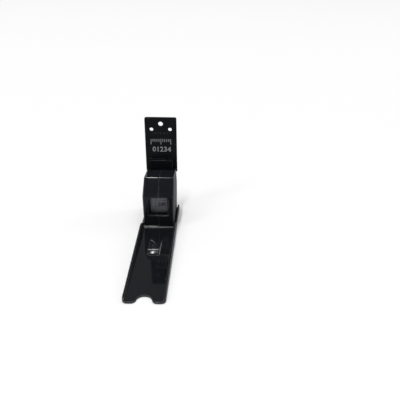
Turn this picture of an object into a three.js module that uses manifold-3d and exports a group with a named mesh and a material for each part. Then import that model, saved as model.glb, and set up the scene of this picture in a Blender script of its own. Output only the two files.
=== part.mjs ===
// A wall stadiometer: a moulded head arm that slides down the wall carries a spring reel of steel
// tape in a two-part case. The tape's end is held in a wall plate, which is screwed to the wall.
// Millimetres, +Z up. The wall is at the rear (+Y), the arm points to the front (-Y), and the
// arm's underside, which touches the top of the head, is the plane Z = 0.
import * as THREE from "three";
import { mergeVertices } from "three/addons/utils/BufferGeometryUtils.js";
import Module from "manifold-3d";

const wasm = await Module();
wasm.setup();

// Shared clearances
const fit_gap = 0.3;
const overrun = 1;

// Wall plate with three screw holes, a raised panel and the pocket that holds the tape's end
const plate_width = 38.4;
const plate_height = 69.5;
const plate_rise = 62.5;
const plate_thickness = 3;
const plate_corner_radius = 2;
const middle_hole_radius = 2.9;
const side_hole_radius = 2.3;
const middle_hole_drop = 8;
const side_hole_drop = 14.9;
const side_hole_spacing = 22.4;
const panel_width = 27.2;
const panel_height = 28;
const panel_drop = 19.5;
const panel_rise = 0.5;
const panel_corner_radius = 1;
const pocket_height = 12.4;
const pocket_wall = 1.4;
const pocket_side_room = 1.9;
const clip_margin = 0.5;
const clip_height = 6.8;
const clip_thickness = 0.9;
const clip_screw_spacing = 10;

// Tape and reel
const tape_width = 20;
const tape_thickness = 0.2;
const tape_wall_clearance = 1.3;
const tape_slot_margin = 0.7;
const tape_slot_width = 1.8;
const coil_radius = 19.6;
const coil_lap = 0.4;
const reel_hub_radius = 17;
const reel_hub_wall = 1.5;
const reel_rim = 1;
const reel_flange_thickness = 1.2;
const reel_sleeve_wall = 1.4;
const reel_sleeve_length = 3;
const spindle_radius = 2.5;
const spindle_seat = 1.9;
const spindle_slot_width = 0.8;
const spindle_boss_radius = 5;
const washer_radius = 6;
const washer_thickness = 0.5;
const spring_strip = 0.5;
const spring_pitch = 1.45;
const spring_turns = 8;

// Head arm: a floor with two tapering flanges, a round notch in its tip and a snap tongue
const arm_length = 200;
const arm_width = 42;
const arm_floor = 2.2;
const flange_wall = 2;
const flange_rear_height = 5.6;
const flange_peak_height = 11.6;
const flange_tip_height = 4.6;
const flange_ramp_overlap = 8.5;
const flange_ramp_length = 21;
const flange_end_round = 3;
const tip_corner_radius = 4.5;
const notch_radius = 8;
const notch_depth = 11;
const notch_lobe_radius = 5;
const stop_rib_height = 1.5;
const stop_rib_width = 1.5;
const tongue_distance = 32.5;
const tongue_width = 12.5;
const tongue_length = 30;
const tongue_rise = 4.5;
const tongue_thickness = 1.8;
const tongue_slant = 3.5;
const tongue_slot = 0.6;

// Reel case: two halves that meet on the middle plane, round the reel and between the flanges
const case_plate_gap = 0.5;
const case_wall = 2.2;
const case_side_gap = 1;
const case_flare = 1.6;
const case_crown_taper = 2;
const case_floor_room = 4;
const case_front_room = 6;
const case_crown_room = 10.9;
const case_crown_setback = 16;
const case_top_fall = 3;
const case_edge_radius = 2;
const case_corner_radius = 2.4;
const case_foot_radius = 0.8;

// Reading window in the front of the case, level with the reel's axis
const window_margin = 1.3;
const window_height = 21.8;
const window_hood = 2.1;
const window_corner_radius = 1.6;
const lens_thickness = 1;
const lens_border = 1;

// Screws: case screws run across the case, base screws come up through the arm
const screw_radius = 1.3;
const screw_head_radius = 2.6;
const screw_head_height = 1.5;
const screw_recess_width = 0.7;
const screw_recess_depth = 0.7;
const screw_recess_share = 0.6;
const case_screw_length = 23;
const base_screw_length = 7.5;
const clip_screw_length = 2;
const boss_wall = 1.5;
const case_screw_inset = 7.5;
const case_screw_low = 6.8;
const case_screw_crown_drop = 5.5;
const base_screw_edge = 4.9;
const base_screw_inset = 16.5;

// Places across the tape: the reel between its washers, and the hub bosses outside them
const reel_side = tape_width / 2 + fit_gap;
const reel_outer = reel_side + reel_flange_thickness;
const hub_boss_start = reel_outer + washer_thickness + 2 * fit_gap;
const spindle_length = 2 * (hub_boss_start + spindle_seat);
const spring_width = 2 * (reel_side - fit_gap) - reel_sleeve_length;

// Distances forward from the wall
const case_rear = plate_thickness + case_plate_gap;
const tape_travel_plane = case_rear + case_wall + tape_wall_clearance;
const pocket_front = tape_travel_plane + 2 * fit_gap + pocket_wall;
const reel_flange_radius = coil_radius + reel_rim;
const coil_axis = tape_travel_plane + fit_gap + coil_radius;
const case_front = coil_axis + reel_flange_radius + case_front_room;
const case_crown_front = case_front - case_crown_setback;
const lens_front = case_front - fit_gap / 2;
const flange_ramp_start = case_front - flange_ramp_overlap;
const flange_ramp_end = flange_ramp_start + flange_ramp_length;
const tongue_root = case_front + tongue_distance;

// Heights
const reel_bottom = arm_floor + case_wall + case_floor_room;
const reel_height = reel_bottom + reel_flange_radius;
const window_sill_height = reel_height - window_height / 2;
const case_ridge_height = window_sill_height + window_height + window_hood;
const case_crown_height = reel_height + reel_flange_radius + case_crown_room;
const case_rear_height = case_crown_height - case_top_fall;
const plate_top = case_crown_height + plate_rise;
const plate_bottom = plate_top - plate_height;

// Widths
const case_base_width = arm_width - 2 * (flange_wall + case_side_gap);
const case_ridge_width = case_base_width + case_flare;
const case_crown_width = case_ridge_width - case_crown_taper;
const case_head_seat = case_wall + screw_head_height - case_crown_width / 2;
const base_screw_side = case_base_width / 2 - base_screw_edge;
const window_width = tape_width + 2 * window_margin;
const tape_slot_length = tape_width + 2 * tape_slot_margin;
const clip_width = tape_width + 2 * clip_margin;
const pocket_width = clip_width + 2 * (pocket_wall + pocket_side_room);

const wall_y = arm_length / 2;
const tip_y = -arm_length / 2;

// Steps in rounded edges, in round corners, in a full ring and in one turn of the spring
const bevel_steps = 3;
const round_steps = 8;
const ring_steps = 40;
const spring_turn_steps = 20;
const weld_distance = 1e-5;

// Directions: a side outline is drawn as (forward from the wall, height), a plate outline as
// (across, height), and each is turned into place by one of these.
const across = new THREE.Vector3(1, 0, 0);
const rearward = new THREE.Vector3(0, 1, 0);
const forward = new THREE.Vector3(0, -1, 0);
const upward = new THREE.Vector3(0, 0, 1);
const leftward = new THREE.Vector3(-1, 0, 0);

function signed_volume(geometry) {
  const corner = geometry.attributes.position;
  const index = geometry.index;
  const a = new THREE.Vector3();
  const b = new THREE.Vector3();
  const c = new THREE.Vector3();
  let total = 0;
  for (let i = 0; i < index.count; i += 3) {
    a.fromBufferAttribute(corner, index.getX(i));
    b.fromBufferAttribute(corner, index.getX(i + 1));
    c.fromBufferAttribute(corner, index.getX(i + 2));
    total += a.dot(b.cross(c));
  }
  return total;
}

// A closed geometry with shared corners becomes a solid whose faces point out.
function solid(geometry) {
  const bare = geometry.clone();
  bare.deleteAttribute("normal");
  bare.deleteAttribute("uv");
  const merged = mergeVertices(bare, weld_distance);
  const triangles = Uint32Array.from(merged.index.array);
  if (signed_volume(merged) < 0) {
    for (let i = 0; i < triangles.length; i += 3) {
      const first = triangles[i];
      triangles[i] = triangles[i + 1];
      triangles[i + 1] = first;
    }
  }
  const corners = Float32Array.from(merged.attributes.position.array);
  const mesh = new wasm.Mesh({ numProp: 3, vertProperties: corners, triVerts: triangles });
  return new wasm.Manifold(mesh);
}

function joined(first, ...others) {
  return others.reduce((sum, other) => sum.add(other), first);
}

function cut(first, ...others) {
  return others.reduce((rest, other) => rest.subtract(other), first);
}

function geometry_of(body) {
  const mesh = body.getMesh();
  const geometry = new THREE.BufferGeometry();
  geometry.setAttribute("position", new THREE.BufferAttribute(mesh.vertProperties, 3));
  geometry.setIndex(new THREE.BufferAttribute(mesh.triVerts, 1));
  const faceted = geometry.toNonIndexed();
  faceted.computeVertexNormals();
  return faceted;
}

// An outline through corners [u, v, radius], each rounded by its radius.
function rounded_outline(corners) {
  const outline = new THREE.Shape();
  corners.forEach(([u, v, radius], i) => {
    const before = corners[(i + corners.length - 1) % corners.length];
    const after = corners[(i + 1) % corners.length];
    const here = new THREE.Vector2(u, v);
    const back = new THREE.Vector2(before[0], before[1]).sub(here).normalize();
    const on = new THREE.Vector2(after[0], after[1]).sub(here).normalize();
    const half_angle = Math.acos(THREE.MathUtils.clamp(back.dot(on), -1, 1)) / 2;
    const reach = radius / Math.tan(half_angle);
    const enter = here.clone().addScaledVector(back, reach);
    const leave = here.clone().addScaledVector(on, reach);
    if (i === 0) {
      outline.moveTo(enter.x, enter.y);
    } else {
      outline.lineTo(enter.x, enter.y);
    }
    outline.quadraticCurveTo(here.x, here.y, leave.x, leave.y);
  });
  outline.closePath();
  return outline;
}

// Extrudes an outline by depth. Its u, v and depth directions are the three vectors given.
function extruded(outline, depth, directions, origin, bevel = 0) {
  const geometry = new THREE.ExtrudeGeometry(outline, {
    depth: depth - 2 * bevel,
    bevelEnabled: bevel > 0,
    bevelThickness: bevel,
    bevelSize: bevel,
    bevelOffset: -bevel,
    bevelSegments: bevel_steps,
    curveSegments: round_steps,
  });
  geometry.translate(0, 0, bevel);
  geometry.applyMatrix4(new THREE.Matrix4().makeBasis(...directions));
  geometry.translate(...origin);
  return geometry;
}

// A side outline, drawn as (forward from the wall, height), from one x to another.
function side_body(outline, from_x, to_x, bevel = 0) {
  const directions = [forward, upward, leftward];
  return solid(extruded(outline, to_x - from_x, directions, [to_x, wall_y, 0], bevel));
}

// A face outline, drawn as (across, height), between two distances forward from the wall.
function face_body(outline, from_wall, to_wall) {
  const directions = [across, upward, forward];
  return solid(extruded(outline, to_wall - from_wall, directions, [0, wall_y - from_wall, 0]));
}

function box_between(low, high) {
  const size = high.map((value, i) => value - low[i]);
  const geometry = new THREE.BoxGeometry(...size);
  geometry.translate(...low.map((value, i) => value + size[i] / 2));
  return solid(geometry);
}

// A box given by its x range, its range forward from the wall and its height range.
function block(x_range, wall_range, z_range) {
  return box_between(
    [x_range[0], wall_y - wall_range[1], z_range[0]],
    [x_range[1], wall_y - wall_range[0], z_range[1]],
  );
}

// A profile of (radius, distance along the axis) turned about an axis through a point. One that
// starts off the axis is closed into a ring.
function turned(profile, axis, origin, steps = ring_steps) {
  const points = profile.map(([radius, along]) => new THREE.Vector2(radius, along));
  if (profile[0][0] > 0) {
    points.push(points[0].clone());
  }
  const geometry = new THREE.LatheGeometry(points, steps);
  geometry.applyQuaternion(new THREE.Quaternion().setFromUnitVectors(rearward, axis));
  geometry.translate(...origin);
  return solid(geometry);
}

function rod(radius, from, to, axis, origin, steps = ring_steps / 2) {
  return turned([[0, from], [radius, from], [radius, to], [0, to]], axis, origin, steps);
}

const black_plastic = { color: 0x17171b, roughness: 0.22, metalness: 0 };
const grey_plastic = { color: 0x5d5e62, roughness: 0.5, metalness: 0 };
const clear_plastic = { color: 0xdfe6e8, roughness: 0.05, metalness: 0, opacity: 0.3, transparent: true };
const zinc_steel = { color: 0xa3a6aa, roughness: 0.35, metalness: 1 };
const spring_steel = { color: 0x60666d, roughness: 0.3, metalness: 1 };
const tape_lacquer = { color: 0xc9c6bb, roughness: 0.4, metalness: 0 };

function part(name, body, finish) {
  const mesh = new THREE.Mesh(geometry_of(body), new THREE.MeshStandardMaterial(finish));
  mesh.name = name;
  return mesh;
}

// The arm's floor seen from above: rounded tip corners and a round notch that runs into the
// two lobes through a fillet on each side.
function arm_outline() {
  const half = arm_width / 2;
  const notch_centre = tip_y + notch_depth - notch_radius;
  const lobe_centre = tip_y + notch_lobe_radius;
  const rise = lobe_centre - notch_centre;
  const lobe_x = Math.sqrt((notch_radius + notch_lobe_radius) ** 2 - rise ** 2);
  const lean = Math.atan2(-rise, lobe_x);
  const outline = new THREE.Shape();
  outline.moveTo(-half, wall_y);
  outline.lineTo(-half, tip_y + tip_corner_radius);
  const corner_y = tip_y + tip_corner_radius;
  outline.absarc(tip_corner_radius - half, corner_y, tip_corner_radius, Math.PI, 1.5 * Math.PI, false);
  outline.lineTo(-lobe_x, tip_y);
  outline.absarc(-lobe_x, lobe_centre, notch_lobe_radius, -0.5 * Math.PI, lean, false);
  outline.absarc(0, notch_centre, notch_radius, Math.PI + lean, -lean, true);
  outline.absarc(lobe_x, lobe_centre, notch_lobe_radius, Math.PI - lean, 1.5 * Math.PI, false);
  outline.lineTo(half - tip_corner_radius, tip_y);
  outline.absarc(half - tip_corner_radius, corner_y, tip_corner_radius, 1.5 * Math.PI, 2 * Math.PI, false);
  outline.lineTo(half, wall_y);
  outline.closePath();
  return outline;
}

// One flange seen from the side: low beside the case, swept up ahead of it, then falling in a
// straight line to the tip, where it rounds down to the floor.
function flange_outline() {
  const ease = (flange_ramp_end - flange_ramp_start) / 2;
  const outline = new THREE.Shape();
  outline.moveTo(0, 0);
  outline.lineTo(arm_length, 0);
  outline.lineTo(arm_length, arm_floor);
  outline.quadraticCurveTo(
    arm_length, flange_tip_height, arm_length - flange_end_round, flange_tip_height,
  );
  outline.lineTo(flange_ramp_end, flange_peak_height);
  outline.bezierCurveTo(
    flange_ramp_end - ease, flange_peak_height,
    flange_ramp_start + ease, flange_rear_height,
    flange_ramp_start, flange_rear_height,
  );
  outline.lineTo(0, flange_rear_height);
  outline.closePath();
  return outline;
}

// The snap tongue seen from the side: it rises from the floor at its root, slants down again at
// its front and ends in a deep lip.
function tongue_outline() {
  const front = tongue_root + tongue_length;
  const lip = front - tongue_thickness;
  const brow = front - tongue_slant;
  const brow_height = arm_floor + tongue_rise;
  const lip_height = brow_height - tongue_slant;
  const inner_brow = brow - tongue_thickness / 3;
  return new THREE.Shape([
    new THREE.Vector2(tongue_root - overrun, arm_floor - tongue_thickness),
    new THREE.Vector2(tongue_root, arm_floor - tongue_thickness),
    new THREE.Vector2(inner_brow, brow_height - tongue_thickness),
    new THREE.Vector2(lip, lip_height - tongue_thickness / 2),
    new THREE.Vector2(lip, fit_gap),
    new THREE.Vector2(front, fit_gap),
    new THREE.Vector2(front, lip_height),
    new THREE.Vector2(brow, brow_height),
    new THREE.Vector2(tongue_root, arm_floor),
    new THREE.Vector2(tongue_root - overrun, arm_floor),
  ]);
}

// A low rib across the floor in front of the case.
function stop_rib_outline() {
  const rear = case_front + fit_gap;
  const front = rear + stop_rib_width;
  const low = arm_floor - overrun;
  const top = arm_floor + stop_rib_height;
  const radius = stop_rib_width / 3;
  return rounded_outline([
    [rear, low, radius], [front, low, radius], [front, top, radius], [rear, top, radius],
  ]);
}

function base_screw_places() {
  const places = [];
  for (const from_wall of [case_rear + base_screw_inset, case_front - base_screw_inset]) {
    for (const side of [-1, 1]) {
      places.push([side * base_screw_side, wall_y - from_wall]);
    }
  }
  return places;
}

// The arm's outline carried up from its underside.
function arm_footprint(height) {
  return solid(extruded(arm_outline(), height, [across, rearward, upward], [0, 0, 0]));
}

function head_arm() {
  const half = arm_width / 2;
  const floor = arm_footprint(arm_floor);
  const around = arm_footprint(flange_peak_height + overrun);
  const left_flange = side_body(flange_outline(), -half, flange_wall - half).intersect(around);
  const right_flange = side_body(flange_outline(), half - flange_wall, half).intersect(around);
  const rib = side_body(stop_rib_outline(), flange_wall / 2 - half, half - flange_wall / 2);
  const slot_half = tongue_width / 2 + tongue_slot;
  const slot_front = tongue_root + tongue_length + tongue_slot;
  const slot = block([-slot_half, slot_half], [tongue_root, slot_front], [-overrun, arm_floor + overrun]);
  const tongue = side_body(tongue_outline(), -tongue_width / 2, tongue_width / 2);
  const holes = base_screw_places().map(([x, y]) => {
    const wide = screw_head_radius + fit_gap;
    const narrow = screw_radius + fit_gap;
    const profile = [
      [0, -overrun], [wide, -overrun], [wide, 0], [narrow, screw_head_height],
      [narrow, arm_floor + overrun], [0, arm_floor + overrun],
    ];
    return turned(profile, upward, [x, y, 0], ring_steps / 2);
  });
  return joined(cut(joined(floor, left_flange, right_flange, rib), slot, ...holes), tongue);
}

// The case is what two outlines have in common: its side view, and its front view, which is
// widest at the ridge. A positive inset gives the hollow inside the wall.
function case_side_corners(inset) {
  const rise = case_rear_height - case_crown_height;
  const crown_run = case_crown_front - case_rear;
  const crown_slope = -rise / crown_run;
  const brow_slope = (case_ridge_height - case_crown_height) / case_crown_setback;
  const top_drop = inset * Math.hypot(1, crown_slope);
  const brow_drop = inset * Math.hypot(1, brow_slope);
  const rear = case_rear + inset;
  const front = case_front - inset;
  const top_at = (run) => case_rear_height - top_drop + crown_slope * (run - case_rear);
  const brow_at = (run) => case_crown_height - brow_drop + brow_slope * (run - case_crown_front);
  const level = case_crown_height - brow_drop - brow_slope * case_crown_front;
  const top_level = case_rear_height - top_drop - crown_slope * case_rear;
  const crown = (level - top_level) / (crown_slope - brow_slope);
  const radius = Math.max(case_edge_radius - inset / 2, fit_gap);
  return [
    [rear, arm_floor + inset, radius / 2],
    [front, arm_floor + inset, Math.max(case_foot_radius - inset / 2, fit_gap)],
    [front, brow_at(front), radius],
    [crown, top_at(crown), radius],
    [rear, top_at(rear), radius],
  ];
}

function case_front_corners(inset) {
  const top = case_crown_height + overrun;
  const slant = (case_crown_width - case_ridge_width) / 2 / (case_crown_height - case_ridge_height);
  const base = case_base_width / 2 - inset;
  const ridge = case_ridge_width / 2 - inset;
  const crown = ridge + slant * (top - case_ridge_height);
  return [
    [-base, 0], [base, 0], [ridge, case_ridge_height], [crown, top],
    [-crown, top], [-ridge, case_ridge_height],
  ].map(([u, v]) => new THREE.Vector2(u, v));
}

function case_form(inset, bevel) {
  const half = case_ridge_width / 2 - inset;
  const corners = case_side_corners(inset);
  const side = side_body(rounded_outline(corners), -half, half);
  const face = face_body(new THREE.Shape(case_front_corners(inset)), 0, case_front + overrun);
  const form = side.intersect(face);
  if (bevel === 0) {
    return form;
  }
  const sharp = new THREE.Shape(corners.map(([u, v]) => new THREE.Vector2(u, v)));
  return form.intersect(side_body(sharp, -half, half, bevel));
}

function window_outline(grow) {
  const half = window_width / 2 + grow;
  const low = window_sill_height - grow;
  const high = window_sill_height + window_height + grow;
  const radius = window_corner_radius + grow / 2;
  return rounded_outline([
    [-half, low, radius], [half, low, radius], [half, high, radius], [-half, high, radius],
  ]);
}

function case_screw_places() {
  const rear = case_rear + case_screw_inset;
  const front = case_front - case_screw_inset;
  const low = arm_floor + case_screw_low;
  const high = case_rear_height - case_screw_crown_drop;
  return [[rear, low], [front, low], [rear, high], [case_crown_front, high]];
}

// Everything of the case before it is parted: shell, bosses, window, lens seat and tape slot.
function whole_case() {
  const shell = cut(case_form(0, case_corner_radius), case_form(case_wall, 0));
  const reach = case_ridge_width / 2;
  const boss_radius = screw_radius + fit_gap + boss_wall;
  const case_bosses = case_screw_places().map(([run, z]) =>
    rod(boss_radius, -reach, reach, across, [0, wall_y - run, z]));
  const head_cup_radius = screw_head_radius + fit_gap + boss_wall;
  const head_cups = case_screw_places().map(([run, z]) =>
    rod(head_cup_radius, -reach, case_head_seat + boss_wall, across, [0, wall_y - run, z]));
  const hub_place = [0, wall_y - coil_axis, reel_height];
  const hub_bosses = [across, leftward].map((side) =>
    rod(spindle_boss_radius, hub_boss_start, reach, side, hub_place));
  const base_bosses = base_screw_places().map(([x, y]) =>
    rod(boss_radius, arm_floor + fit_gap, reel_bottom - fit_gap, upward, [x, y, 0]));
  const inside = case_form(fit_gap, 0);
  const bosses = joined(...case_bosses, ...head_cups, ...hub_bosses, ...base_bosses).intersect(inside);
  const spindle_reach = spindle_length / 2 + fit_gap;
  const spindle_bore = rod(spindle_radius + fit_gap, -spindle_reach, spindle_reach, across, hub_place);
  const base_bores = base_screw_places().map(([x, y]) =>
    rod(screw_radius + fit_gap, -overrun, base_screw_length + fit_gap, upward, [x, y, 0]));
  const lens_seat = lens_front - lens_thickness - fit_gap;
  const light = face_body(window_outline(0), case_front - case_wall - overrun, case_front + overrun);
  const seat = face_body(window_outline(lens_border), lens_seat, case_front + overrun);
  const slot_half = tape_slot_length / 2;
  const slot_middle = tape_travel_plane - tape_thickness / 2;
  const slot = block(
    [-slot_half, slot_half],
    [slot_middle - tape_slot_width / 2, slot_middle + tape_slot_width / 2],
    [case_rear_height - case_wall - overrun, case_crown_height + overrun],
  );
  return cut(joined(shell, bosses), spindle_bore, ...base_bores, light, seat, slot);
}

// The left half takes the screw heads in counterbores; the right half has the blind holes.
function case_halves() {
  const whole = whole_case();
  const reach = case_ridge_width;
  const part_line = fit_gap / 2;
  const depth = [0, case_front + overrun];
  const height = [-overrun, case_crown_height + overrun];
  const left_side = block([-reach, -part_line], depth, height);
  const right_side = block([part_line, reach], depth, height);
  const bores = case_screw_places().map(([run, z]) => {
    const place = [0, wall_y - run, z];
    const end = case_head_seat + case_screw_length + fit_gap;
    const hole = rod(screw_radius + fit_gap, case_head_seat - overrun, end, across, place);
    const recess = rod(screw_head_radius + fit_gap, -reach, case_head_seat, across, place);
    return hole.add(recess);
  });
  const drilled = cut(whole, ...bores);
  return [drilled.intersect(left_side), drilled.intersect(right_side)];
}

function window_lens() {
  return face_body(window_outline(lens_border - fit_gap), lens_front - lens_thickness, lens_front);
}

// A cross-recess screw whose shank runs along the axis. A pan head stands before the place, a
// countersunk one goes in from it.
function screw(axis, place, length, countersunk) {
  const pan_head = [[screw_head_radius, -screw_head_height], [screw_head_radius, 0], [screw_radius, 0]];
  const flat_head = [[screw_head_radius, 0], [screw_radius, screw_head_height]];
  const head_profile = countersunk ? flat_head : pan_head;
  const rim = head_profile[0][1];
  const tip = [[screw_radius, length - screw_radius], [screw_radius / 3, length], [0, length]];
  const blank = turned([[0, rim], ...head_profile, ...tip], rearward, [0, 0, 0], ring_steps / 2);
  const arm = screw_head_radius * screw_recess_share;
  const slots = [[arm, screw_recess_width / 2], [screw_recess_width / 2, arm]].map(([a, b]) =>
    box_between([-a, rim - overrun, -b], [a, rim + screw_recess_depth, b]));
  const body = geometry_of(cut(blank, ...slots));
  body.applyQuaternion(new THREE.Quaternion().setFromUnitVectors(rearward, axis));
  body.translate(...place);
  return solid(body);
}

function spindle() {
  const place = [0, wall_y - coil_axis, reel_height];
  const pin = rod(spindle_radius, -spindle_length / 2, spindle_length / 2, across, place);
  const end = spring_width / 2;
  const slot = block(
    [-end, end],
    [coil_axis - spindle_slot_width / 2, coil_axis + spindle_slot_width / 2],
    [reel_height, reel_height + spindle_radius + overrun],
  );
  return cut(pin, slot);
}

function washer(side) {
  const start = reel_outer + fit_gap;
  const inner = spindle_radius + fit_gap;
  const profile = [
    [inner, start], [washer_radius, start],
    [washer_radius, start + washer_thickness], [inner, start + washer_thickness],
  ];
  return turned(profile, side, [0, wall_y - coil_axis, reel_height], ring_steps / 2);
}

// The reel turns on the spindle: a hub with two flanges, open on the right for the spring.
function reel() {
  const bore = spindle_radius + fit_gap;
  const sleeve = bore + reel_sleeve_wall;
  const chamber = reel_hub_radius - reel_hub_wall;
  const profile = [
    [bore, -reel_outer], [reel_flange_radius, -reel_outer], [reel_flange_radius, -reel_side],
    [reel_hub_radius, -reel_side], [reel_hub_radius, reel_side], [reel_flange_radius, reel_side],
    [reel_flange_radius, reel_outer], [chamber, reel_outer], [chamber, -reel_side],
    [sleeve, -reel_side], [sleeve, reel_sleeve_length - reel_side], [bore, reel_sleeve_length - reel_side],
  ];
  return turned(profile, across, [0, wall_y - coil_axis, reel_height]);
}

function reel_cover() {
  const inner = spindle_radius + fit_gap;
  const outer = reel_hub_radius - reel_hub_wall - fit_gap;
  const profile = [[inner, reel_side], [outer, reel_side], [outer, reel_outer], [inner, reel_outer]];
  return turned(profile, across, [0, wall_y - coil_axis, reel_height]);
}

// The wound tape: a plain core under one outer turn. The turn starts from a step at the rear,
// where the free tape leaves, and runs over the top, down the front and back to the rear.
function tape_coil() {
  const outline = new THREE.Shape();
  for (let i = 0; i <= ring_steps; i += 1) {
    const angle = 2 * Math.PI * i / ring_steps;
    const radius = coil_radius - coil_lap * (1 - i / ring_steps);
    const u = coil_axis - radius * Math.cos(angle);
    const v = reel_height + radius * Math.sin(angle);
    if (i === 0) {
      outline.moveTo(u, v);
    } else {
      outline.lineTo(u, v);
    }
  }
  outline.closePath();
  const bore = Array.from({ length: ring_steps }, (_, i) => {
    const angle = 2 * Math.PI * i / ring_steps;
    const radius = reel_hub_radius + fit_gap;
    return new THREE.Vector2(coil_axis + radius * Math.cos(angle), reel_height + radius * Math.sin(angle));
  });
  outline.holes.push(new THREE.Path(bore));
  return side_body(outline, -tape_width / 2, tape_width / 2);
}

// The mainspring is one flat strip wound in a spiral between the spindle and the reel's hub.
function mainspring() {
  const steps = spring_turns * spring_turn_steps;
  const start = spindle_radius + fit_gap + spring_strip;
  const at = (i, offset) => {
    const angle = 2 * Math.PI * i / spring_turn_steps;
    const radius = start + spring_pitch * i / spring_turn_steps + offset;
    return new THREE.Vector2(coil_axis + radius * Math.cos(angle), reel_height + radius * Math.sin(angle));
  };
  const outer = Array.from({ length: steps + 1 }, (_, i) => at(i, spring_strip / 2));
  const inner = Array.from({ length: steps + 1 }, (_, i) => at(steps - i, -spring_strip / 2));
  const low = reel_sleeve_length - reel_side + fit_gap;
  return side_body(new THREE.Shape([...outer, ...inner]), low, low + spring_width);
}

// The free tape runs straight up from the coil to the clip in the wall plate's pocket.
function tape_blade() {
  return block(
    [-tape_width / 2, tape_width / 2],
    [tape_travel_plane - tape_thickness, tape_travel_plane],
    [reel_height, clip_bottom() - fit_gap],
  );
}

function pocket_bottom() {
  const slope = (case_crown_height - case_rear_height) / (case_crown_front - case_rear);
  return case_rear_height + slope * (pocket_front - case_rear) + fit_gap;
}

function clip_bottom() {
  const pocket_middle = pocket_bottom() + pocket_wall + (pocket_height - 2 * pocket_wall) / 2;
  return pocket_middle - clip_height / 2;
}

function clip_screw_places() {
  return [-1, 1].map((side) => [side * clip_screw_spacing / 2, clip_bottom() + clip_height / 2]);
}

function clip_back() {
  return pocket_front - pocket_wall - fit_gap - clip_thickness;
}

function wall_plate() {
  const half = plate_width / 2;
  const sheet = rounded_outline([
    [-half, plate_bottom, fit_gap], [half, plate_bottom, fit_gap],
    [half, plate_top, plate_corner_radius], [-half, plate_top, plate_corner_radius],
  ]);
  const panel_top = plate_top - panel_drop;
  const panel_half = panel_width / 2;
  const panel = rounded_outline([
    [-panel_half, panel_top - panel_height, panel_corner_radius],
    [panel_half, panel_top - panel_height, panel_corner_radius],
    [panel_half, panel_top, panel_corner_radius],
    [-panel_half, panel_top, panel_corner_radius],
  ]);
  const low = pocket_bottom();
  const high = low + pocket_height;
  const pocket_root = plate_thickness / 2;
  const pocket_half = pocket_width / 2;
  const pocket = rounded_outline([
    [pocket_root, low, fit_gap], [pocket_front, low, fit_gap],
    [pocket_front, high, panel_corner_radius], [pocket_root, high, fit_gap],
  ]);
  const hollow = block(
    [pocket_wall - pocket_half, pocket_half - pocket_wall],
    [-overrun, pocket_front - pocket_wall],
    [low + pocket_wall, high - pocket_wall],
  );
  const slot_half = tape_slot_length / 2;
  const slot_middle = tape_travel_plane - tape_thickness / 2;
  const slot = block(
    [-slot_half, slot_half],
    [slot_middle - tape_slot_width / 2, slot_middle + tape_slot_width / 2],
    [low - overrun, low + pocket_wall + overrun],
  );
  const wall_point = (x, z) => [x, wall_y, z];
  const hole_reach = plate_thickness + overrun;
  const middle_hole = rod(middle_hole_radius, -overrun, hole_reach, forward,
    wall_point(0, plate_top - middle_hole_drop));
  const side_holes = [-1, 1].map((side) => rod(side_hole_radius, -overrun, hole_reach, forward,
    wall_point(side * side_hole_spacing / 2, plate_top - side_hole_drop)));
  const pilot_end = pocket_front - pocket_wall / 2;
  const pilots = clip_screw_places().map(([x, z]) =>
    rod(screw_radius + fit_gap, 0, pilot_end, forward, wall_point(x, z), ring_steps / 4));
  const solid_plate = joined(
    face_body(sheet, 0, plate_thickness),
    face_body(panel, pocket_root, plate_thickness + panel_rise),
    side_body(pocket, -pocket_half, pocket_half),
  );
  return cut(solid_plate, hollow, slot, middle_hole, ...side_holes, ...pilots);
}

// A steel tab that grips the tape's end and is screwed to the pocket's front wall.
function tape_end_clip() {
  const back = clip_back();
  const half = clip_width / 2;
  const low = clip_bottom();
  const outline = rounded_outline([
    [-half, low, panel_corner_radius], [half, low, panel_corner_radius],
    [half, low + clip_height, panel_corner_radius], [-half, low + clip_height, panel_corner_radius],
  ]);
  const holes = clip_screw_places().map(([x, z]) => rod(screw_radius + fit_gap,
    0, pocket_front, forward, [x, wall_y, z], ring_steps / 4));
  return cut(face_body(outline, back, back + clip_thickness), ...holes);
}

const head = new THREE.Group();
head.add(part("head_arm", head_arm(), black_plastic));
const [left_half, right_half] = case_halves();
head.add(part("case_left", left_half, black_plastic));
head.add(part("case_right", right_half, black_plastic));
head.add(part("window_lens", window_lens(), clear_plastic));
head.add(part("spindle", spindle(), zinc_steel));
head.add(part("washer_right", washer(across), zinc_steel));
head.add(part("washer_left", washer(leftward), zinc_steel));

case_screw_places().forEach(([run, z], i) => {
  const body = screw(across, [case_head_seat, wall_y - run, z], case_screw_length, false);
  head.add(part(`case_screw_${i + 1}`, body, zinc_steel));
});
base_screw_places().forEach(([x, y], i) => {
  const body = screw(upward, [x, y, 0], base_screw_length, true);
  head.add(part(`base_screw_${i + 1}`, body, zinc_steel));
});

const tape_reel = new THREE.Group();
tape_reel.add(part("reel", reel(), grey_plastic));
tape_reel.add(part("reel_cover", reel_cover(), grey_plastic));
tape_reel.add(part("tape_coil", tape_coil(), tape_lacquer));
tape_reel.add(part("mainspring", mainspring(), spring_steel));

const wall_bracket = new THREE.Group();
wall_bracket.add(part("wall_plate", wall_plate(), black_plastic));
wall_bracket.add(part("tape_end_clip", tape_end_clip(), zinc_steel));
wall_bracket.add(part("tape_blade", tape_blade(), tape_lacquer));
clip_screw_places().forEach(([x, z], i) => {
  const body = screw(forward, [x, wall_y - clip_back() + fit_gap, z], clip_screw_length, false);
  wall_bracket.add(part(`clip_screw_${i + 1}`, body, zinc_steel));
});

const stadiometer = new THREE.Group();
stadiometer.add(head, tape_reel, wall_bracket);

export default stadiometer;
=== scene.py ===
import math

import bmesh
import bpy
import numpy as np
from mathutils import Matrix, Vector


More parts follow.
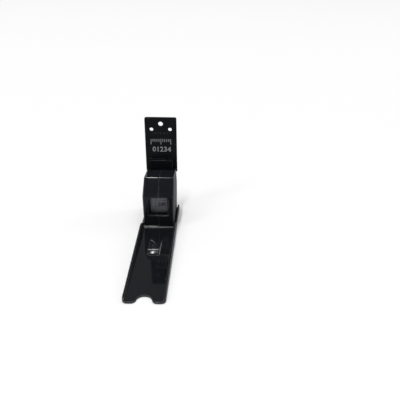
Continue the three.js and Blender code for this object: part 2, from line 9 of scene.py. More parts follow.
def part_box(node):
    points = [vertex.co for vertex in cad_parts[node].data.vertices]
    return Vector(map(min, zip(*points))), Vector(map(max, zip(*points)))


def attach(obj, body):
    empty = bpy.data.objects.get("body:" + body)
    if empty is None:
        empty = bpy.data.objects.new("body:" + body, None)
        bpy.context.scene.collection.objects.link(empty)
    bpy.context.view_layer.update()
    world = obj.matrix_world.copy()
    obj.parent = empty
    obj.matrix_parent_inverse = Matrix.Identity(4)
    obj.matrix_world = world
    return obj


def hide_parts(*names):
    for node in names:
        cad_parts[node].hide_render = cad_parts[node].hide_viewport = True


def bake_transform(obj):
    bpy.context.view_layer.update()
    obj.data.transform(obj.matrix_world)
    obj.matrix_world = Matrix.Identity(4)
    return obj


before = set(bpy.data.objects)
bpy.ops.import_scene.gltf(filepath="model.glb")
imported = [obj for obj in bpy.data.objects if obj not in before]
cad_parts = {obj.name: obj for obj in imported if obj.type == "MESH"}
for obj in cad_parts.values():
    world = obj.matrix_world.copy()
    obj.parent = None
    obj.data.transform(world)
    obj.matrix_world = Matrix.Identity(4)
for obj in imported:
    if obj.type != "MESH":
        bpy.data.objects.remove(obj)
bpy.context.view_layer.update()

# Camera: it stands a little to the right of the arm's tip and looks down at about 26 degrees.
# The small shift keeps the instrument left of the middle of the picture, as it was framed.
CAMERA_PLACE = (0.0645, -0.4865, 0.3017)
CAMERA_RIGHT = Vector((0.99984, 0.01386, 0.01094))
CAMERA_UP = Vector((-0.01591, 0.43924, 0.89823))
LENS_LENGTH = 45.41
LENS_SHIFT = (-0.0225, -0.0033)
SENSOR_WIDTH = 36
NEAREST_SEEN = 0.01

right = CAMERA_RIGHT.normalized()
back = right.cross(CAMERA_UP).normalized()
up = back.cross(right)
camera_data = bpy.data.cameras.new("camera")
camera_data.sensor_width = SENSOR_WIDTH
camera_data.lens = LENS_LENGTH
camera_data.shift_x, camera_data.shift_y = LENS_SHIFT
camera_data.clip_start = NEAREST_SEEN
camera = bpy.data.objects.new("camera", camera_data)
bpy.context.scene.collection.objects.link(camera)
camera.matrix_world = Matrix.Translation(CAMERA_PLACE) @ Matrix((right, up, back)).transposed().to_4x4()
bpy.context.scene.camera = camera
bpy.context.scene.view_settings.view_transform = "Standard"


# Studio: a pale matt table top under a dim sky that is pale at the horizon. Narrow overhead lamps
# put thin bright lines on the rounded edges of polished black plastic; a wide one fills in.
def linear(hex_colour):
    """An sRGB hex colour as linear RGBA."""
    parts = [int(hex_colour[i:i + 2], 16) / 255 for i in (1, 3, 5)]
    return tuple(p / 12.92 if p <= 0.04045 else ((p + 0.055) / 1.055) ** 2.4 for p in parts) + (1.0,)


def add(tree, kind, inputs=None, **settings):
    """Adds a node. Inputs are values or other nodes' outputs by socket, settings its own fields."""
    made = tree.nodes.new(kind)
    for field, value in settings.items():
        setattr(made, field, value)
    for socket, value in (inputs or {}).items():
        if isinstance(value, bpy.types.NodeSocket):
            tree.links.new(value, made.inputs[socket])
        else:
            made.inputs[socket].default_value = value
    return made


def new_material(name):
    """A material with its node tree and its Principled shader."""
    made = bpy.data.materials.new(name)
    made.use_nodes = True
    return made, made.node_tree, made.node_tree.nodes["Principled BSDF"]


# The floor is lit by the lamps round the instrument, where its shadow falls, and fades to white
# further out. Only rays that are seen, mirrored or seen through the window meet that white, so it
# adds no light to the instrument.
FLOOR_HALF = 8.0
FLOOR_DEPTH = 0.0002
FLOOR_MOTTLE = 0.35
FLOOR_WHITE = 0.85
WHITE_FROM = 0.1
WHITE_FULL = 0.36

table_top, tree, shader = new_material("matt laminate")
place = add(tree, "ShaderNodeTexCoord").outputs["Object"]
mottle = add(tree, "ShaderNodeTexNoise", {"Vector": place, "Scale": 1 / FLOOR_MOTTLE, "Detail": 2.0})
shade = add(tree, "ShaderNodeMix", {
    "Factor": mottle.outputs["Fac"], "A": linear("#f3f3f2"), "B": linear("#f8f8f7"),
}, data_type="RGBA")
tree.links.new(shade.outputs["Result"], shader.inputs["Base Color"])
shader.inputs["Roughness"].default_value = 0.9
shader.inputs["Specular IOR Level"].default_value = 0.1
ray = add(tree, "ShaderNodeLightPath").outputs
seen = add(tree, "ShaderNodeMath", {
    0: ray["Is Camera Ray"], 1: ray["Is Glossy Ray"],
}, operation="MAXIMUM")
seen = add(tree, "ShaderNodeMath", {
    0: seen.outputs["Value"], 1: ray["Is Transmission Ray"],
}, operation="MAXIMUM")
from_middle = add(tree, "ShaderNodeVectorMath", {"Vector": place}, operation="LENGTH")
white_level = add(tree, "ShaderNodeMapRange", {
    "Value": from_middle.outputs["Value"], "From Min": WHITE_FROM, "From Max": WHITE_FULL,
    "To Min": 0.0, "To Max": FLOOR_WHITE,
}, interpolation_type="SMOOTHSTEP")
white_share = add(tree, "ShaderNodeMath", {
    0: seen.outputs["Value"], 1: white_level.outputs["Result"],
}, operation="MULTIPLY")
white = add(tree, "ShaderNodeEmission", {"Color": linear("#ffffff"), "Strength": 1.0})
table_shader = add(tree, "ShaderNodeMixShader", {
    "Fac": white_share.outputs["Value"], 1: shader.outputs["BSDF"], 2: white.outputs["Emission"],
})
tree.links.new(table_shader.outputs["Shader"], tree.nodes["Material Output"].inputs["Surface"])

floor_mesh = bpy.data.meshes.new("floor")
floor_mesh.from_pydata(
    [(x * FLOOR_HALF, y * FLOOR_HALF, -FLOOR_DEPTH) for x, y in ((-1, -1), (1, -1), (1, 1), (-1, 1))],
    [], [(0, 1, 2, 3)])
floor_mesh.materials.append(table_top)
floor = bpy.data.objects.new("floor", floor_mesh)
bpy.context.scene.collection.objects.link(floor)

# The sky's strength at the horizon and overhead, and the rise of a view, as the sine of its
# angle, at which it starts to dim and at which it is dim.
SKY_HORIZON = 0.95
SKY_ABOVE = 0.2
DIMS_FROM = 0.12
DIM_AT = 0.4

world = bpy.data.worlds.new("studio")
world.use_nodes = True
sky = world.node_tree
direction = add(sky, "ShaderNodeTexCoord").outputs["Generated"]
rise = add(sky, "ShaderNodeSeparateXYZ", {"Vector": direction})
sky_level = add(sky, "ShaderNodeMapRange", {
    "Value": rise.outputs["Z"], "From Min": DIMS_FROM, "From Max": DIM_AT,
    "To Min": SKY_HORIZON, "To Max": SKY_ABOVE,
}, interpolation_type="SMOOTHSTEP")
sky.nodes["Background"].inputs["Color"].default_value = linear("#f6f8fb")
sky.links.new(sky_level.outputs["Result"], sky.nodes["Background"].inputs["Strength"])
bpy.context.scene.world = world

# Each lamp: name, place, the point it faces, width, height and power in watts. The overhead ones
# hang well above two metres, so that the tape is lit evenly when it is drawn out. The small spot
# hangs low, because only from there does it shine back off the tongue's lip and not off the brow.
LAMPS = (
    ("overhead_strip", (-0.768, -1.12, 6.0), (-0.768, -1.12, 0.0), 0.189, 4.206, 160.0),
    ("overhead_fill_strip", (-0.553, -1.02, 6.0), (-0.553, -1.02, 0.0), 0.159, 4.0, 29.0),
    ("front_spot", (-0.1355, -0.632, 0.95), (-0.06, -0.2, 0.0), 0.008, 0.036, 0.055),
    ("overhead_softbox", (0.4, 0.5, 6.0), (0.0, 0.0, 0.0), 4.2, 2.8, 120.0),
    ("left_strip", (-2.0, -1.4, 2.4), (0.0, 0.02, 0.05), 0.56, 2.0, 14.4),
    ("right_panel", (2.6, 0.6, 1.2), (0.0, 0.05, 0.05), 1.2, 1.6, 9.6),
)
for name, lamp_place, target, width, height, power in LAMPS:
    light = bpy.data.lights.new(name, "AREA")
    light.shape = "RECTANGLE"
    light.size, light.size_y = width, height
    light.energy = power
    lamp = bpy.data.objects.new(name, light)
    bpy.context.scene.collection.objects.link(lamp)
    lamp.location = lamp_place
    lamp.rotation_mode = "QUATERNION"
    lamp.rotation_quaternion = (Vector(target) - Vector(lamp_place)).to_track_quat("-Z", "Y")
    lamp.visible_camera = False


# Head arm: one moulding in black ABS, from a polished tool, with two flanges that taper to the
# tip. Its edges are slightly rounded, as a moulding's are, and its floor has fine rubs from hands.
# The sides were drawn past textured steel as the moulding left its tool, so they are duller; their
# paler base colour is a painted sheen.
MM = 0.001
MERGE = 0.002 * MM
FLAT_WITHIN = math.radians(0.4)
EDGE_ANGLE = math.radians(28)
EDGE_STEPS = 3
SIZE_WEIGHT = 100
SIDEWAYS = 0.8
MOST_CORNERS = 4


def softened(node, name, width, finish, body, side_finish=None, edge_finish=None):
    """A copy of a CAD node with merged corners and rounded edges, which stands for the node.

    Faces that look sideways take the side finish and the rounded edges the edge finish. Faces of
    many corners are cut up before the edges are rounded, which would fold them, and the rounding
    keeps its width along each edge instead of sliding along the cuts.
    """
    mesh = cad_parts[node].data.copy()
    mesh.name = name
    shape = bmesh.new()
    shape.from_mesh(mesh)
    bmesh.ops.remove_doubles(shape, verts=shape.verts, dist=MERGE)
    bmesh.ops.dissolve_limit(shape, angle_limit=FLAT_WITHIN, verts=shape.verts, edges=shape.edges)
    many_sided = [face for face in shape.faces if len(face.verts) > MOST_CORNERS]
    bmesh.ops.triangulate(shape, faces=many_sided, ngon_method="BEAUTY")
    for face in shape.faces:
        face.smooth = True
        face.material_index = int(side_finish is not None and abs(face.normal.x) > SIDEWAYS)
    mesh.materials.clear()
    mesh.materials.append(finish)
    for other_finish in (side_finish, edge_finish):
        if other_finish:
            mesh.materials.append(other_finish)
    shape.to_mesh(mesh)
    shape.free()
    piece = bpy.data.objects.new(name, mesh)
    bpy.context.scene.collection.objects.link(piece)
    rounding = piece.modifiers.new("rounded edges", "BEVEL")
    rounding.width = width
    rounding.segments = EDGE_STEPS
    rounding.limit_method = "ANGLE"
    rounding.angle_limit = EDGE_ANGLE
    rounding.use_clamp_overlap = False
    rounding.loop_slide = False
    if edge_finish:
        rounding.material = len(mesh.materials) - 1
    flat = piece.modifiers.new("flat faces", "WEIGHTED_NORMAL")
    flat.keep_sharp = True
    flat.weight = SIZE_WEIGHT
    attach(piece, body)
    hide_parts(node)
    return piece


HAZE_PATCH = 14 * MM
HAZE_RANGE = 0.04
RUB_DULLNESS = 0.05
RIPPLE = 2.4 * MM
RIPPLE_DEPTH = 0.03 * MM


def black_abs(name, polish, gloss, rub_size, dark="#111215", light="#18191c"):
    """Moulded black ABS: dark and glossy, with haze in patches, fine rubs and a slight ripple.

    Polish is the least roughness, and rub_size is a rub's extent along x, y and z.
    """
    finish, tree, shader = new_material(name)
    place = add(tree, "ShaderNodeTexCoord").outputs["Object"]
    haze = add(tree, "ShaderNodeTexNoise", {"Vector": place, "Scale": 1 / HAZE_PATCH, "Detail": 5.0})
    stretched = add(tree, "ShaderNodeMapping", {
        "Vector": place, "Scale": [1 / extent for extent in rub_size],
    })
    rubs = add(tree, "ShaderNodeTexNoise", {
        "Vector": stretched.outputs["Vector"], "Scale": 1.0, "Detail": 3.0,
    })
    rub_mask = add(tree, "ShaderNodeMapRange", {
        "Value": rubs.outputs["Fac"], "From Min": 0.60, "From Max": 0.72,
        "To Min": 0.0, "To Max": RUB_DULLNESS,
    })
    haze_level = add(tree, "ShaderNodeMapRange", {
        "Value": haze.outputs["Fac"], "From Min": 0.35, "From Max": 0.70,
        "To Min": polish, "To Max": polish + HAZE_RANGE,
    })
    roughness = add(tree, "ShaderNodeMath", {
        0: haze_level.outputs["Result"], 1: rub_mask.outputs["Result"],
    })
    tree.links.new(roughness.outputs["Value"], shader.inputs["Roughness"])
    tone = add(tree, "ShaderNodeMix", {
        "Factor": haze.outputs["Fac"], "A": linear(dark), "B": linear(light),
    }, data_type="RGBA")
    tree.links.new(tone.outputs["Result"], shader.inputs["Base Color"])
    ripple = add(tree, "ShaderNodeTexNoise", {"Vector": place, "Scale": 1 / RIPPLE, "Detail": 1.0})
    relief = add(tree, "ShaderNodeBump", {
        "Height": ripple.outputs["Fac"], "Strength": 0.12, "Distance": RIPPLE_DEPTH,
    })
    tree.links.new(relief.outputs["Normal"], shader.inputs["Normal"])
    shader.inputs["IOR"].default_value = 1.5
    shader.inputs["Specular IOR Level"].default_value = gloss
    return finish


# The arm's floor shines like a dark mirror and its sides are a flat black. Its rounded edges are glossy
# and painted paler as a painted highlight, which draws the thin line round the arm.
ARM_EDGE = 0.28 * MM

arm_abs = black_abs("polished black ABS", 0.04, 0.42, (0.5 * MM, 30 * MM, 0.5 * MM))
# Sideways faces: a dull finish whose paler base colour is a painted sheen.
side_abs_painted_sheen = black_abs(
    "drawn black ABS with painted sheen", 0.36, 0.01, (9 * MM, 20 * MM, 0.4 * MM), "#222327", "#2a2b2f")
# Rounded edges: a glossy finish whose paler colour is a painted highlight.
painted_highlight_edge_abs = black_abs(
    "black ABS edge with painted highlight", 0.1, 0.5, (3 * MM, 3 * MM, 3 * MM), "#2c2d30", "#47484c")
softened(
    "head_arm", "head_arm_moulding", ARM_EDGE, arm_abs, "head", side_abs_painted_sheen, painted_highlight_edge_abs)


# Base screws: four countersunk zinc-plated steel screws that come up through the arm's floor and
# hold the case down. Zinc plating is a bright grey with a faint bloom.
ZINC_BLOOM = 1.1 * MM
SCREW_EDGE = 0.12 * MM

zinc, tree, shader = new_material("zinc-plated steel")
place = add(tree, "ShaderNodeTexCoord").outputs["Object"]
bloom = add(tree, "ShaderNodeTexNoise", {"Vector": place, "Scale": 1 / ZINC_BLOOM, "Detail": 4.0})
tint = add(tree, "ShaderNodeMix", {
    "Factor": bloom.outputs["Fac"], "A": linear("#9a9da1"), "B": linear("#c3c5c2"),
}, data_type="RGBA")
tree.links.new(tint.outputs["Result"], shader.inputs["Base Color"])
spread = add(tree, "ShaderNodeMapRange", {
    "Value": bloom.outputs["Fac"], "From Min": 0.3, "From Max": 0.7, "To Min": 0.24, "To Max": 0.42,
})
tree.links.new(spread.outputs["Result"], shader.inputs["Roughness"])
shader.inputs["Metallic"].default_value = 1.0

for number in range(1, 5):
    softened(
        f"base_screw_{number}", f"base_screw_steel_{number}", SCREW_EDGE, zinc, "head")


# Case: two black ABS halves that meet in a fine seam down the middle, with a sloped brow above
# the window. The tool was polished to a mirror, so the case shows the plate and the arm in itself.
# Four zinc-plated screws go in from the left and draw the halves together.
CASE_EDGE = 0.3 * MM

case_abs = black_abs(
    "mirror-polished black ABS", 0.03, 0.14, (9 * MM, 0.7 * MM, 9 * MM), "#131417", "#1c1d21")
# The case's sideways faces take the arm's painted sheen, and its rounded edges, the seam's too, the
# painted highlight.
for side in ("left", "right"):
    softened(
        f"case_{side}", f"case_{side}_moulding", CASE_EDGE, case_abs, "head",
        side_abs_painted_sheen, painted_highlight_edge_abs)

for number in range(1, 5):
    softened(
        f"case_screw_{number}", f"case_screw_steel_{number}", SCREW_EDGE, zinc, "head")


# Reading window: a lightly smoked polystyrene plate pressed into a seat in the case, with a
# printed hairline across its back at which the tape is read.
WIPE_MARK = 6 * MM
LENS_EDGE = 0.12 * MM

clear_plastic, tree, shader = new_material("smoked clear polystyrene")
place = add(tree, "ShaderNodeTexCoord").outputs["Object"]
wipe = add(tree, "ShaderNodeTexNoise", {"Vector": place, "Scale": 1 / WIPE_MARK, "Detail": 4.0})
smear = add(tree, "ShaderNodeMapRange", {
    "Value": wipe.outputs["Fac"], "From Min": 0.4, "From Max": 0.75, "To Min": 0.02, "To Max": 0.09,
})
tree.links.new(smear.outputs["Result"], shader.inputs["Roughness"])
shader.inputs["Base Color"].default_value = linear("#d9d9e0")
shader.inputs["Transmission Weight"].default_value = 1.0
shader.inputs["IOR"].default_value = 1.59
softened("window_lens", "window_plate", LENS_EDGE, clear_plastic, "head")

# Printing ink is a flat black, a little thinner here and there.
INK_COVER = 0.8 * MM

ink, tree, shader = new_material("black printing ink")
place = add(tree, "ShaderNodeTexCoord").outputs["Object"]
cover = add(tree, "ShaderNodeTexNoise", {"Vector": place, "Scale": 1 / INK_COVER, "Detail": 2.0})
density = add(tree, "ShaderNodeMix", {
    "Factor": cover.outputs["Fac"], "A": linear("#0e0e11"), "B": linear("#1e1e22"),
}, data_type="RGBA")
tree.links.new(density.outputs["Result"], shader.inputs["Base Color"])
shader.inputs["Roughness"].default_value = 0.5


def finished(name, mesh, finish, body):
    """A new piece from a mesh that is already in its place."""
    mesh.materials.clear()
    mesh.materials.append(finish)
    piece = bpy.data.objects.new(name, mesh)
    bpy.context.scene.collection.objects.link(piece)
    if body:
        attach(piece, body)
    return piece


def slab(name, low, high):
    """A mesh that fills the space between two corners."""
    shape = bmesh.new()
    bmesh.ops.create_cube(shape, size=1.0)
    for vertex in shape.verts:
        share = [c + 0.5 for c in vertex.co]
        vertex.co = [a + (b - a) * s for a, b, s in zip(low, high, share)]
    mesh = bpy.data.meshes.new(name)
    shape.to_mesh(mesh)
    shape.free()
    return mesh


HAIRLINE = 0.3 * MM
HAIRLINE_MARGIN = 1.2 * MM
LENS_GAP = 0.02 * MM
INK_THICKNESS = 0.04 * MM

lens_low, lens_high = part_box("window_lens")
index_height = (lens_low.z + lens_high.z) / 2
back_of_lens = lens_high.y + LENS_GAP
hairline = slab(
    "reading_line",
    (lens_low.x + HAIRLINE_MARGIN, back_of_lens, index_height - HAIRLINE / 2),
    (lens_high.x - HAIRLINE_MARGIN, back_of_lens + INK_THICKNESS, index_height + HAIRLINE / 2))
finished("reading_line", hairline, ink, "head")


# Spindle and washers: a turned steel pin across the case, which the reel runs on, with a thrust
# washer at each side.
SPINDLE_EDGE = 0.1 * MM

for node in ("spindle", "washer_left", "washer_right"):
    softened(node, f"{node}_steel", SPINDLE_EDGE, zinc, "head")


# Reel: the reel and its cover are moulded in grey acetal, a satin and slightly waxy plastic, and
# hold a mainspring of blued steel strip.
ACETAL_CLOUD = 5 * MM
REEL_EDGE = 0.15 * MM
TEMPER_PATCH = 3 * MM

acetal, tree, shader = new_material("satin grey acetal")
place = add(tree, "ShaderNodeTexCoord").outputs["Object"]
cloud = add(tree, "ShaderNodeTexNoise", {"Vector": place, "Scale": 1 / ACETAL_CLOUD, "Detail": 3.0})
grey = add(tree, "ShaderNodeMix", {
    "Factor": cloud.outputs["Fac"], "A": linear("#68696c"), "B": linear("#7a7b7d"),
}, data_type="RGBA")
tree.links.new(grey.outputs["Result"], shader.inputs["Base Color"])
shader.inputs["Roughness"].default_value = 0.45
for node in ("reel", "reel_cover"):
    softened(node, f"{node}_moulding", REEL_EDGE, acetal, "tape_reel")

blued, tree, shader = new_material("blued spring steel")
place = add(tree, "ShaderNodeTexCoord").outputs["Object"]
temper = add(tree, "ShaderNodeTexNoise", {"Vector": place, "Scale": 1 / TEMPER_PATCH, "Detail": 2.0})
blue = add(tree, "ShaderNodeMix", {
    "Factor": temper.outputs["Fac"], "A": linear("#4b5560"), "B": linear("#6c6f74"),
}, data_type="RGBA")
tree.links.new(blue.outputs["Result"], shader.inputs["Base Color"])
shader.inputs["Metallic"].default_value = 1.0
shader.inputs["Roughness"].default_value = 0.3
spring_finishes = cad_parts["mainspring"].data.materials
spring_finishes.clear()
spring_finishes.append(blued)


# Wound tape: steel tape with an off-white enamel, wound on the reel with its printed side out.
# Each centimetre is a cell with its number, and the window shows the cell of 200 when the arm is
# right up at the plate. The enamel has a soft shine that flows a little unevenly.
ENAMEL_FLOW = 7 * MM

enamel, tree, shader = new_material("off-white stoved enamel")
place = add(tree, "ShaderNodeTexCoord").outputs["Object"]
flow = add(tree, "ShaderNodeTexNoise", {"Vector": place, "Scale": 1 / ENAMEL_FLOW, "Detail": 4.0})
cream = add(tree, "ShaderNodeMix", {
    "Factor": flow.outputs["Fac"], "A": linear("#dddcd7"), "B": linear("#eae9e5"),
}, data_type="RGBA")
tree.links.new(cream.outputs["Result"], shader.inputs["Base Color"])
gloss = add(tree, "ShaderNodeMapRange", {
    "Value": flow.outputs["Fac"], "From Min": 0.3, "From Max": 0.7, "To Min": 0.28, "To Max": 0.4,
})
tree.links.new(gloss.outputs["Result"], shader.inputs["Roughness"])

COIL_RADIUS = 19.6 * MM
COIL_BORE = 17.3 * MM
COIL_LAP = 0.4 * MM
COIL_STEPS = 180
COIL_CORNER = math.radians(30)

spindle_low, spindle_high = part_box("spindle")
TAPE_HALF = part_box("tape_coil")[1].x
coil_y = (spindle_low.y + spindle_high.y) / 2
coil_z = (spindle_low.z + spindle_high.z) / 2


def coil_surface(turn):
    """The coil's radius at a share of a turn from the rear, where it steps, over the top."""
    return COIL_RADIUS - COIL_LAP * (1 - turn)


ring = []
for step in range(COIL_STEPS):
    turn = step / COIL_STEPS
    angle = 2 * math.pi * turn
    outside = coil_surface(turn)
    for radius, side in ((outside, -1), (outside, 1), (COIL_BORE, 1), (COIL_BORE, -1)):
        ring.append((
            side * TAPE_HALF, coil_y + radius * math.cos(angle), coil_z + radius * math.sin(angle)))
faces = []
for step in range(COIL_STEPS):
    after = (step + 1) % COIL_STEPS
    for corner in range(4):
        along = (corner + 1) % 4
        faces.append((4 * step + corner, 4 * step + along, 4 * after + along, 4 * after + corner))
coil_mesh = bpy.data.meshes.new("wound_tape")
coil_mesh.from_pydata(ring, [], faces)
shape = bmesh.new()
shape.from_mesh(coil_mesh)
bmesh.ops.recalc_face_normals(shape, faces=shape.faces)
shape.to_mesh(coil_mesh)
shape.free()
coil_mesh.shade_smooth()
coil_mesh.set_sharp_from_angle(angle=COIL_CORNER)
wound_tape = finished("wound_tape", coil_mesh, enamel, "tape_reel")
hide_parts("tape_coil")

# The scale's bars come from one node tree: a row of bars, short for a millimetre, longer for
# five, and right across for a centimetre.
scale_tree = bpy.data.node_groups.new("scale bars", "GeometryNodeTree")
scale_tree.interface.new_socket("Geometry", in_out="INPUT", socket_type="NodeSocketGeometry")
scale_tree.interface.new_socket("Geometry", in_out="OUTPUT", socket_type="NodeSocketGeometry")
scale_inputs = {}
for label, kind in (
    ("Bars", "NodeSocketInt"), ("Pitch", "NodeSocketFloat"), ("Bar Width", "NodeSocketFloat"),
    ("Relief", "NodeSocketFloat"), ("Short Bar", "NodeSocketFloat"), ("Middle Bar", "NodeSocketFloat"),
    ("Long Bar", "NodeSocketFloat"), ("Finish", "NodeSocketMaterial"),
):
    made = scale_tree.interface.new_socket(label, in_out="INPUT", socket_type=kind)
    scale_inputs[label] = made.identifier
given = add(scale_tree, "NodeGroupInput").outputs
step_up = add(scale_tree, "ShaderNodeCombineXYZ", {"Z": given["Pitch"]})
row = add(scale_tree, "GeometryNodeMeshLine", {
    "Count": given["Bars"], "Offset": step_up.outputs["Vector"],
})
place_in_row = add(scale_tree, "GeometryNodeInputIndex").outputs["Index"]
off_five = add(scale_tree, "ShaderNodeMath", {0: place_in_row, 1: 5.0}, operation="MODULO")
off_ten = add(scale_tree, "ShaderNodeMath", {0: place_in_row, 1: 10.0}, operation="MODULO")
between_fives = add(scale_tree, "FunctionNodeCompare", {"A": off_five.outputs["Value"], "B": 0.5})
between_tens = add(scale_tree, "FunctionNodeCompare", {"A": off_ten.outputs["Value"], "B": 0.5})
five_or_less = add(scale_tree, "GeometryNodeSwitch", {
    "Switch": between_fives.outputs["Result"], "False": given["Middle Bar"], "True": given["Short Bar"],
}, input_type="FLOAT")
bar_length = add(scale_tree, "GeometryNodeSwitch", {
    "Switch": between_tens.outputs["Result"],
    "False": given["Long Bar"], "True": five_or_less.outputs["Output"],
}, input_type="FLOAT")
bar_size = add(scale_tree, "ShaderNodeCombineXYZ", {
    "X": bar_length.outputs["Output"], "Y": given["Relief"], "Z": given["Bar Width"],
})
block = add(scale_tree, "GeometryNodeMeshCube", {"Size": (1.0, 1.0, 1.0)})
from_edge = add(scale_tree, "GeometryNodeTransform", {
    "Geometry": block.outputs["Mesh"], "Translation": (0.5, -0.5, 0.0),
})
bars = add(scale_tree, "GeometryNodeInstanceOnPoints", {
    "Points": row.outputs["Mesh"], "Instance": from_edge.outputs["Geometry"],
    "Scale": bar_size.outputs["Vector"],
})
real_bars = add(scale_tree, "GeometryNodeRealizeInstances", {"Geometry": bars.outputs["Instances"]})
dressed_bars = add(scale_tree, "GeometryNodeSetMaterial", {
    "Geometry": real_bars.outputs["Geometry"], "Material": given["Finish"],
})
add(scale_tree, "NodeGroupOutput", {"Geometry": dressed_bars.outputs["Geometry"]})


def scale_bars(name, **sizes):
    """A row of scale bars as a plain mesh, upwards from the origin, each bar to the right."""
    holder = bpy.data.objects.new(name, bpy.data.meshes.new(name))
    bpy.context.scene.collection.objects.link(holder)
    nodes = holder.modifiers.new("scale bars", "NODES")
    nodes.node_group = scale_tree
    for label, value in sizes.items():
        nodes[scale_inputs[label.replace("_", " ").title()]] = value
    bpy.context.view_layer.update()
    evaluated = holder.evaluated_get(bpy.context.evaluated_depsgraph_get())
    mesh = bpy.data.meshes.new_from_object(evaluated)
    bpy.data.objects.remove(holder)
    mesh.name = name
    return mesh


NUMERAL_CURVE_STEPS = 2
NUMERAL_MERGE = 0.001 * MM


def numerals(name, rows, size, depth, weight):
    """Plain numerals as one mesh, flat in the XZ plane and facing -Y. Rows are (text, x, z)."""
    shape = bmesh.new()
    for text, x, z in rows:
        curve = bpy.data.curves.new(name, "FONT")
        curve.body = text
        curve.size = size
        curve.align_x, curve.align_y = "CENTER", "CENTER"
        curve.extrude = depth / 2
        curve.offset = weight
        curve.resolution_u = NUMERAL_CURVE_STEPS
        holder = bpy.data.objects.new(name, curve)
        bpy.context.scene.collection.objects.link(holder)
        bpy.context.view_layer.update()
        evaluated = holder.evaluated_get(bpy.context.evaluated_depsgraph_get())
        flat = bpy.data.meshes.new_from_object(evaluated)
        flat.transform(Matrix.Translation((x, -depth / 2, z)) @ Matrix.Rotation(math.pi / 2, 4, "X"))
        shape.from_mesh(flat)
        bpy.data.objects.remove(holder)
        bpy.data.curves.remove(curve)
        bpy.data.meshes.remove(flat)
    bmesh.ops.remove_doubles(shape, verts=shape.verts, dist=NUMERAL_MERGE)
    bmesh.ops.recalc_face_normals(shape, faces=shape.faces)
    mesh = bpy.data.meshes.new(name)
    shape.to_mesh(mesh)
    shape.free()
    return mesh


def wrapped(mesh):
    """Winds a flat print on to the coil: z becomes the way up its front, -y the way out."""
    for vertex in mesh.vertices:
        out, along = -vertex.co.y, vertex.co.z
        turn = 0.5 - along / (2 * math.pi * COIL_RADIUS)
        radius = coil_surface(turn) + out
        angle = 2 * math.pi * turn
        vertex.co.y = coil_y + radius * math.cos(angle)
        vertex.co.z = coil_z + radius * math.sin(angle)
    return mesh


# The print has ten bars to a centimetre cell and a number beside the bars in the cell's middle.
CELL = 10 * MM
BARS_IN_CELL = 10
LAST_NUMBER = 200
COIL_CELLS = 6
TICKS_FROM = -5.2 * MM
NUMBER_MIDDLE = 3.2 * MM
NUMBER_SIZE = 6.6 * MM
NUMBER_WEIGHT = 0.2 * MM
TAPE_BARS = {
    "pitch": 1 * MM, "bar_width": 0.3 * MM, "relief": INK_THICKNESS,
    "short_bar": 2.2 * MM, "middle_bar": 3.2 * MM, "long_bar": 14.2 * MM, "finish": ink,
}

index_rise = index_height - coil_z
coil_bars = scale_bars("coil_bars", bars=BARS_IN_CELL * COIL_CELLS + 1, **TAPE_BARS)
coil_bars.transform(Matrix.Translation((TICKS_FROM, 0, index_rise - CELL / 2)))
finished("tape_print_bars", wrapped(coil_bars), ink, "tape_reel")

digits = numerals("coil_numbers", [
    (str(LAST_NUMBER - i), NUMBER_MIDDLE, index_rise + CELL * i) for i in range(COIL_CELLS)
], NUMBER_SIZE, INK_THICKNESS, NUMBER_WEIGHT)
finished("tape_print_numbers", wrapped(digits), ink, "tape_reel")


# Wall plate: a black ABS moulding that hangs on three screws. Its raised panel has a ruler and
# numerals in relief, which are hot-foiled in silver. Wear has dulled the foil to a patchy grey.
PLATE_EDGE = 0.22 * MM
FOIL_WEAR = 0.9 * MM

plate_abs = black_abs(
    "wiped black ABS", 0.14, 0.05, (0.6 * MM, 20 * MM, 20 * MM), "#0e0f11", "#141518")
# Its sideways faces take the painted sheen of the arm's sides.
softened(
    "wall_plate", "wall_plate_moulding", PLATE_EDGE, plate_abs, "wall_bracket", side_abs_painted_sheen)

foil, tree, shader = new_material("silver hot foil")
place = add(tree, "ShaderNodeTexCoord").outputs["Object"]
worn = add(tree, "ShaderNodeTexNoise", {"Vector": place, "Scale": 1 / FOIL_WEAR, "Detail": 4.0})
silver = add(tree, "ShaderNodeMix", {
    "Factor": worn.outputs["Fac"], "A": linear("#66676b"), "B": linear("#9c9da0"),
}, data_type="RGBA")
tree.links.new(silver.outputs["Result"], shader.inputs["Base Color"])
shader.inputs["Metallic"].default_value = 0.3
shader.inputs["Roughness"].default_value = 0.42

RULER_PITCH = 2.4 * MM
RULER_BARS = 11
RULER_TOP = 96.4 * MM
NUMERALS = 5
NUMERAL_SIZE = 8.8 * MM
NUMERAL_WEIGHT = 0.2 * MM
NUMERAL_SPACING = 4.6 * MM
NUMERAL_MIDDLE = 83.0 * MM
NUMERAL_CENTRE = 0.8 * MM
RELIEF = 0.35 * MM
PANEL_FACE = 96.5 * MM

ruler = scale_bars(
    "plate_ruler", bars=RULER_BARS, pitch=RULER_PITCH, bar_width=0.85 * MM, relief=RELIEF,
    short_bar=3.6 * MM, middle_bar=6.8 * MM, long_bar=6.8 * MM, finish=foil)
ruler.transform(
    Matrix.Translation((-RULER_PITCH * (RULER_BARS - 1) / 2, PANEL_FACE, RULER_TOP))
    @ Matrix.Rotation(math.pi / 2, 4, "Y"))
finished("plate_ruler", ruler, foil, "wall_bracket")

plate_digits = numerals("plate_numerals", [
    (str(i), NUMERAL_CENTRE + (i - NUMERALS // 2) * NUMERAL_SPACING, NUMERAL_MIDDLE)
    for i in range(NUMERALS)
], NUMERAL_SIZE, RELIEF, NUMERAL_WEIGHT)
plate_digits.transform(Matrix.Translation((0, PANEL_FACE, 0)))
finished("plate_numerals", plate_digits, foil, "wall_bracket")


# Tape end clip: a zinc-plated steel tab with two small screws, which grips the tape's end inside
# the pocket.
CLIP_EDGE = 0.12 * MM
CLIP_SCREW_EDGE = 0.1 * MM

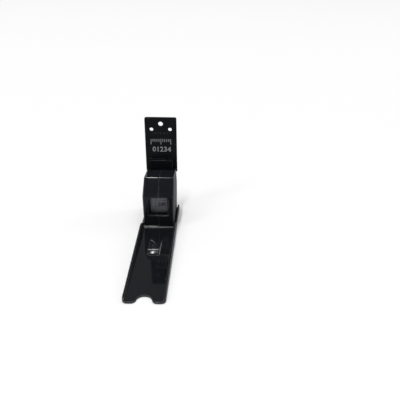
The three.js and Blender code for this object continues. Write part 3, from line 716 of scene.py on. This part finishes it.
softened("tape_end_clip", "tape_end_clip_steel", CLIP_EDGE, zinc, "wall_bracket")
for number in (1, 2):
    softened(
        f"clip_screw_{number}", f"clip_screw_steel_{number}", CLIP_SCREW_EDGE, zinc,
        "wall_bracket")


# Free tape: the enamelled steel tape between the case and the plate. It lies unseen in the case
# at rest and is drawn out straight, up to two metres, as the arm goes down the wall. It is
# printed on both faces; on the wall's side the print is the one that the window shows.
BLADE_STEPS = 24
TRAVEL = 2.0

blade_low, blade_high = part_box("tape_blade")
rings, faces = [], []
for step in range(BLADE_STEPS + 1):
    z = blade_low.z + (blade_high.z - blade_low.z) * step / BLADE_STEPS
    rings += [
        (blade_low.x, blade_low.y, z), (blade_high.x, blade_low.y, z),
        (blade_high.x, blade_high.y, z), (blade_low.x, blade_high.y, z),
    ]
for step in range(BLADE_STEPS):
    for corner in range(4):
        along = (corner + 1) % 4
        faces.append((4 * step + corner, 4 * step + along, 4 * step + 4 + along, 4 * step + 4 + corner))
faces += [(3, 2, 1, 0), tuple(4 * BLADE_STEPS + corner for corner in range(4))]
blade_mesh = bpy.data.meshes.new("free_tape")
blade_mesh.from_pydata(rings, [], faces)
free_tape = finished("free_tape", blade_mesh, enamel, None)
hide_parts("tape_blade")
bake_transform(free_tape)

# The print is laid out at full stretch, where it is true to size, and is then put back to where
# each of its points lies when the tape is in. From the line in the window, the tape goes half
# round the coil before it leaves at the rear, so each cell stands that much lower. The tape's
# stretch rises smoothly from none at its lower end to the whole travel at its upper end.
STRETCH_SAMPLES = 40001
FIRST_NUMBER = 7

rest_heights = np.linspace(blade_low.z, blade_high.z, STRETCH_SAMPLES)
shares = (rest_heights - blade_low.z) / (blade_high.z - blade_low.z)
drawn_heights = rest_heights + TRAVEL * shares * shares * (3 - 2 * shares)
cell_start = coil_z + index_rise - math.pi * COIL_RADIUS


def points_of(mesh):
    """A mesh's points, one to a row."""
    points = np.empty(3 * len(mesh.vertices))
    mesh.vertices.foreach_get("co", points)
    return points.reshape(-1, 3)


def printed(name, mesh, points):
    """Puts a print's points back on to where they lie on the tape at rest."""
    points[:, 2] = np.interp(points[:, 2], drawn_heights, rest_heights)
    mesh.vertices.foreach_set("co", points.ravel())
    print_piece = finished(name, mesh, ink, None)
    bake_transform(print_piece)


def turned_over(mesh, middles):
    """A copy of a print on the tape's other face, turned about the lines across at its middles."""
    other = mesh.copy()
    points = points_of(mesh)
    points[:, 2] = 2 * middles - points[:, 2]
    points[:, 1] = blade_low.y + blade_high.y - points[:, 1]
    return other, points


blade_cells = LAST_NUMBER - FIRST_NUMBER + 1
blade_bars = scale_bars("blade_bars", bars=BARS_IN_CELL * blade_cells + 1, **TAPE_BARS)
blade_bars.transform(Matrix.Translation(
    (TICKS_FROM, blade_low.y, cell_start + CELL * (FIRST_NUMBER - 0.5))))
blade_digits = numerals("blade_numbers", [
    (str(i), NUMBER_MIDDLE, cell_start + CELL * i) for i in range(FIRST_NUMBER, LAST_NUMBER + 1)
], NUMBER_SIZE, INK_THICKNESS, NUMBER_WEIGHT)
blade_digits.transform(Matrix.Translation((0, blade_low.y, 0)))

# On the other face each number turns about the middle of its cell. The row of bars turns as one
# about its own middle, because its long bars lie between two cells.
row_middle = cell_start + CELL * (FIRST_NUMBER + LAST_NUMBER) / 2
cells = np.round((points_of(blade_digits)[:, 2] - cell_start) / CELL)
for mesh, name, middles in (
    (blade_bars, "free_tape_bars", row_middle),
    (blade_digits, "free_tape_numbers", cells * CELL + cell_start),
):
    other, points = turned_over(mesh, middles)
    printed(name, mesh, points_of(mesh))
    printed(name + "_rear", other, points)
